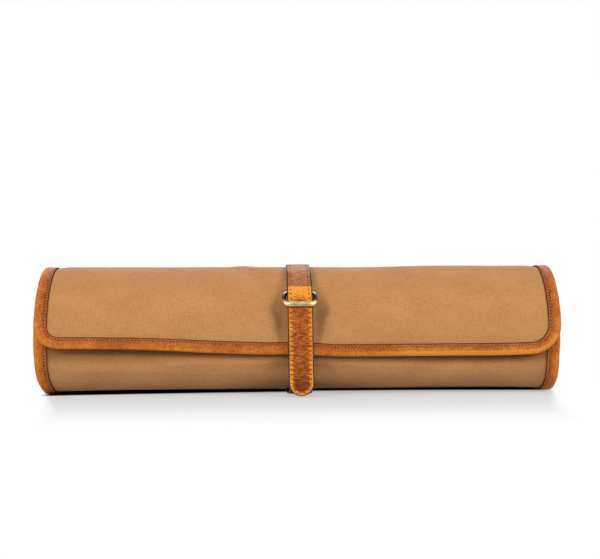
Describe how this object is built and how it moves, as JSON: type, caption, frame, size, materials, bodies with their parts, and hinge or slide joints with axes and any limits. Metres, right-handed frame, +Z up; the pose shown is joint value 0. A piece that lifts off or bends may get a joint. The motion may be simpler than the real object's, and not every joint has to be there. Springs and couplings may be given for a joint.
{
  "type": "knife roll",
  "caption": "Rolled canvas knife roll with leather edge binding, a front flap, a leather closing strap with a hanging tongue and a brass keeper ring.",
  "frame": {"origin": "on the surface the roll lies on, under the roll's axis, midway along its length", "axes": "+X along the roll, +Z up, -Y towards the flap's free edge and the tongue"},
  "size_m": [0.46, 0.1238, 0.1145],
  "materials": {
    "canvas": "plain waxed canvas",
    "lining": "plain woven lining",
    "binding": "smooth cognac leather with a black painted inner edge",
    "strap": "smooth dark brown leather with black painted edges",
    "tongue": "smooth orange-brown leather, creased, with stitched edges",
    "brass": "polished"
  },
  "bodies": {
    "roll": {"canvas_body": "canvas", "lining_body": "lining", "binding_left": "binding", "binding_right": "binding", "binding_inner_hem": "binding", "pocket_panel": "canvas", "pocket_mouth_trim": "binding", "handle_cover": "lining", "strap_back": "strap", "snap_stud": "brass"},
    "flap": {"canvas_flap": "canvas", "lining_flap": "lining", "binding_flap": "binding", "strap_front": "strap", "strap_overlay": "tongue", "ring_tab": "strap"},
    "tongue": {"tongue_back": "strap", "tongue_face": "tongue", "snap_socket": "brass"},
    "ring": {"keeper_ring": "brass"}
  },
  "joints": [
    {"name": "flap_open", "type": "hinge", "parent": "roll", "child": "flap", "pos_m": [0, 0.01028, 0.114], "axis": [-1, 0, 0], "range_deg": [0, 115]},
    {"name": "tongue_lift", "type": "hinge", "parent": "flap", "child": "tongue", "pos_m": [0, -0.06267, 0.07435], "axis": [-1, 0, 0], "range_deg": [0, 80]},
    {"name": "ring_swing", "type": "hinge", "parent": "flap", "child": "ring", "pos_m": [0, -0.04948, 0.09034], "axis": [-1, 0, 0], "range_deg": [0, 90]}
  ]
}
